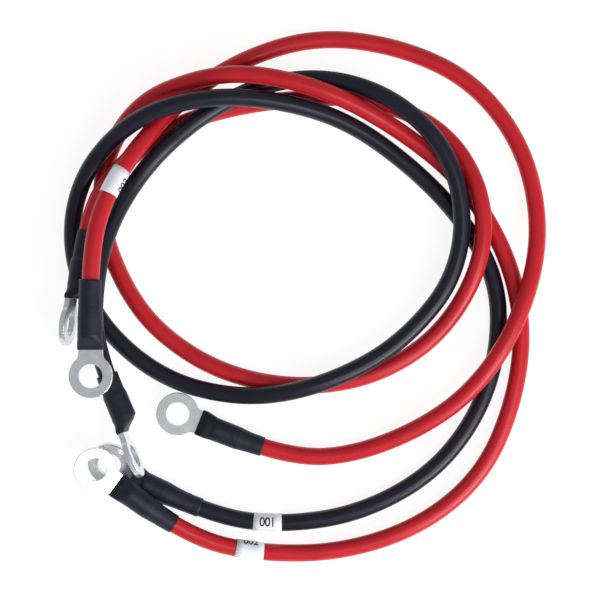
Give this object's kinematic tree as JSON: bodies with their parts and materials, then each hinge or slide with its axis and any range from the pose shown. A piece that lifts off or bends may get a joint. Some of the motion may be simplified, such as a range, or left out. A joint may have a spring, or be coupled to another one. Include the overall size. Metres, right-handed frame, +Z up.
{
  "type": "battery lead set",
  "caption": "Set of red and black battery leads lying in loose coils, each with crimped ring lugs under heat-shrink sleeves and a wrap-round wire label",
  "frame": {"origin": "on the surface the leads lie on, below the middle of the coils", "axes": "+Z up; +X to the right and +Y away in the view from above"},
  "size_m": [0.2157, 0.2379, 0.0343],
  "materials": {
    "red_jacket": "semi-gloss extruded PVC",
    "black_jacket": "semi-gloss extruded PVC",
    "heat_shrink": "satin polyolefin",
    "tinned_copper": "matte tin plate",
    "copper_strand": "bare copper strand",
    "label_film": "white vinyl tape"
  },
  "bodies": {
    "root": {"lead_1_jacket": "red_jacket", "lead_1_conductor": "copper_strand", "lead_1_lug_a": "tinned_copper", "lead_1_lug_b": "tinned_copper", "lead_1_sleeve_a": "heat_shrink", "lead_1_sleeve_b": "heat_shrink", "lead_1_label": "label_film", "lead_2_jacket": "red_jacket", "lead_2_conductor": "copper_strand", "lead_2_lug_a": "tinned_copper", "lead_2_lug_b": "tinned_copper", "lead_2_sleeve_a": "heat_shrink", "lead_2_sleeve_b": "heat_shrink", "lead_2_label": "label_film", "lead_3_jacket": "black_jacket", "lead_3_conductor": "copper_strand", "lead_3_lug_a": "tinned_copper", "lead_3_lug_b": "tinned_copper", "lead_3_sleeve_a": "heat_shrink", "lead_3_sleeve_b": "heat_shrink", "lead_3_label": "label_film"}
  },
  "joints": []
}
